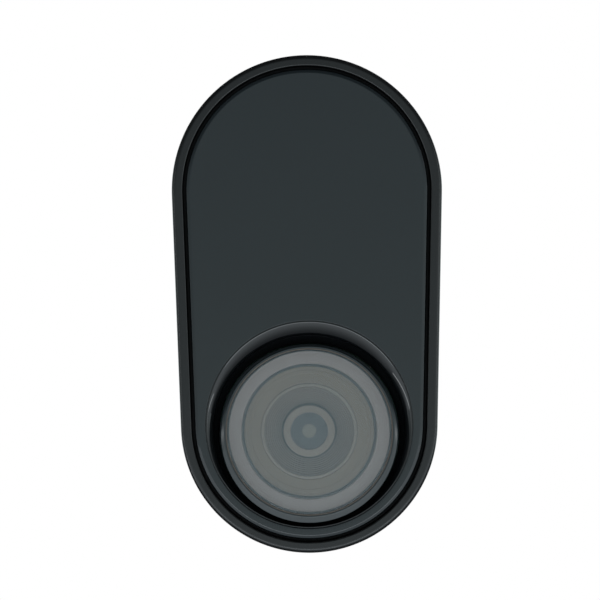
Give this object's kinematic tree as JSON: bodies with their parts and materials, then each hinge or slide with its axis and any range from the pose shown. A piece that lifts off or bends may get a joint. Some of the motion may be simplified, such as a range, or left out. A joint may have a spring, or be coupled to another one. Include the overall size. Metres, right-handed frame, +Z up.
{
  "type": "video doorbell",
  "caption": "Upright rounded video doorbell in dark slate: raised rim, glossy face plate and a round dish whose push button has a clear hazy window over the camera.",
  "frame": {"origin": "centre of the wall face, on the wall plane behind the middle of the outline", "axes": "+Z up, +X to the right as a visitor sees it, +Y into the wall, so the front faces -Y"},
  "size_m": [0.06, 0.027, 0.1105],
  "materials": {
    "battery_wrap": "laminate pouch",
    "black_rubber": "matt",
    "blackened_steel": "black oxide",
    "board_black": "black solder mask",
    "board_green": "green solder mask",
    "board_white": "white solder mask",
    "bond_film": "adhesive film",
    "bond_line": "brown-grey adhesive line",
    "bracket_plastic": "matt moulded",
    "brass_insert": "turned",
    "chip_black": "moulded epoxy",
    "coated_glass": "blue anti-reflection coating",
    "connector_ivory": "nylon",
    "flex_amber": "polyimide film",
    "grey_foam": "closed-cell foam",
    "grey_silicone": "silicone",
    "hazy_clear": "clear plastic with a slight haze",
    "hood_grey": "ribbed grey-green cone",
    "inner_plastic": "matt black",
    "key_plastic": "satin",
    "led_body": "clear epoxy over phosphor",
    "milky_diffuser": "milky light diffuser",
    "nickel_steel": "nickel plated",
    "olive_filter": "olive-grey filter window",
    "piano_black": "high gloss black",
    "plunger_plastic": "natural nylon",
    "satin_black_plastic": "satin, fine moulded texture",
    "slate_gloss": "glossy dark slate",
    "slate_key": "semi-gloss slate",
    "speaker_cone": "paper-filled cone and frame",
    "stop_black": "matt",
    "switch_plastic": "matt",
    "tin_shield": "tinned sheet",
    "trim_pale": "pale satin ring"
  },
  "bodies": {
    "doorbell_body": {"antenna": "flex_amber", "aperture_stop": "stop_black", "battery_cell": "battery_wrap", "battery_lead": "connector_ivory", "battery_pad": "grey_foam", "bell_switches": "switch_plastic", "board_connector": "connector_ivory", "board_screws": "nickel_steel", "camera_board": "board_black", "camera_flex": "flex_amber", "camera_turret": "inner_plastic", "chassis": "inner_plastic", "chassis_screws": "nickel_steel", "dish_bezel": "piano_black", "filter_glass": "coated_glass", "front_board": "board_green", "front_board_screws": "nickel_steel", "front_lens": "coated_glass", "front_plate": "slate_gloss", "halo_board": "board_white", "halo_leds": "led_body", "housing": "satin_black_plastic", "image_sensor": "chip_black", "infrared_board": "board_black", "infrared_leds": "led_body", "infrared_window": "olive_filter", "inner_lens": "coated_glass", "lens_barrel": "inner_plastic", "lens_holder": "inner_plastic", "lens_hood": "hood_grey", "lens_retainer": "trim_pale", "lens_trim": "trim_pale", "main_board": "board_green", "microphone": "tin_shield", "microphone_boot": "black_rubber", "plate_bond": "bond_film", "plate_gasket": "black_rubber", "power_parts": "chip_black", "processor_chips": "chip_black", "push_seal": "grey_silicone", "radio_module": "tin_shield", "security_screw": "blackened_steel", "shield_can": "tin_shield", "side_board": "board_green", "side_switch": "switch_plastic", "speaker_driver": "speaker_cone", "speaker_duct": "black_rubber", "speaker_enclosure": "inner_plastic", "terminal_nuts": "brass_insert", "terminal_screws": "nickel_steel", "wall_bracket": "bracket_plastic", "wall_gasket": "black_rubber"},
    "bell_push": {"push_ring": "slate_key", "push_window": "hazy_clear", "window_bond": "bond_line", "light_ring": "milky_diffuser"},
    "bell_plungers": {"bell_plungers": "plunger_plastic"},
    "side_key": {"side_key": "key_plastic"},
    "side_plunger": {"side_plunger": "plunger_plastic"}
  },
  "joints": [
    {"name": "bell_push_travel", "type": "slide", "parent": "doorbell_body", "child": "bell_push", "axis": [0, 1, 0], "range_m": [0, 0.0008], "stiffness_N_per_m": 2500, "springref_m": -0.0004, "deforming": ["push_seal"]},
    {"name": "bell_plunger_travel", "type": "slide", "parent": "doorbell_body", "child": "bell_plungers", "axis": [0, 1, 0], "range_m": [0, 0.0008]},
    {"name": "side_key_travel", "type": "slide", "parent": "doorbell_body", "child": "side_key", "axis": [-1, 0, 0], "range_m": [0, 0.0004], "stiffness_N_per_m": 3000, "springref_m": -0.0003},
    {"name": "side_plunger_travel", "type": "slide", "parent": "doorbell_body", "child": "side_plunger", "axis": [-1, 0, 0], "range_m": [0, 0.0004]}
  ],
  "couplings": [
    {"joint": "bell_plunger_travel", "follows": "bell_push_travel", "ratio": 1},
    {"joint": "side_plunger_travel", "follows": "side_key_travel", "ratio": 1}
  ]
}
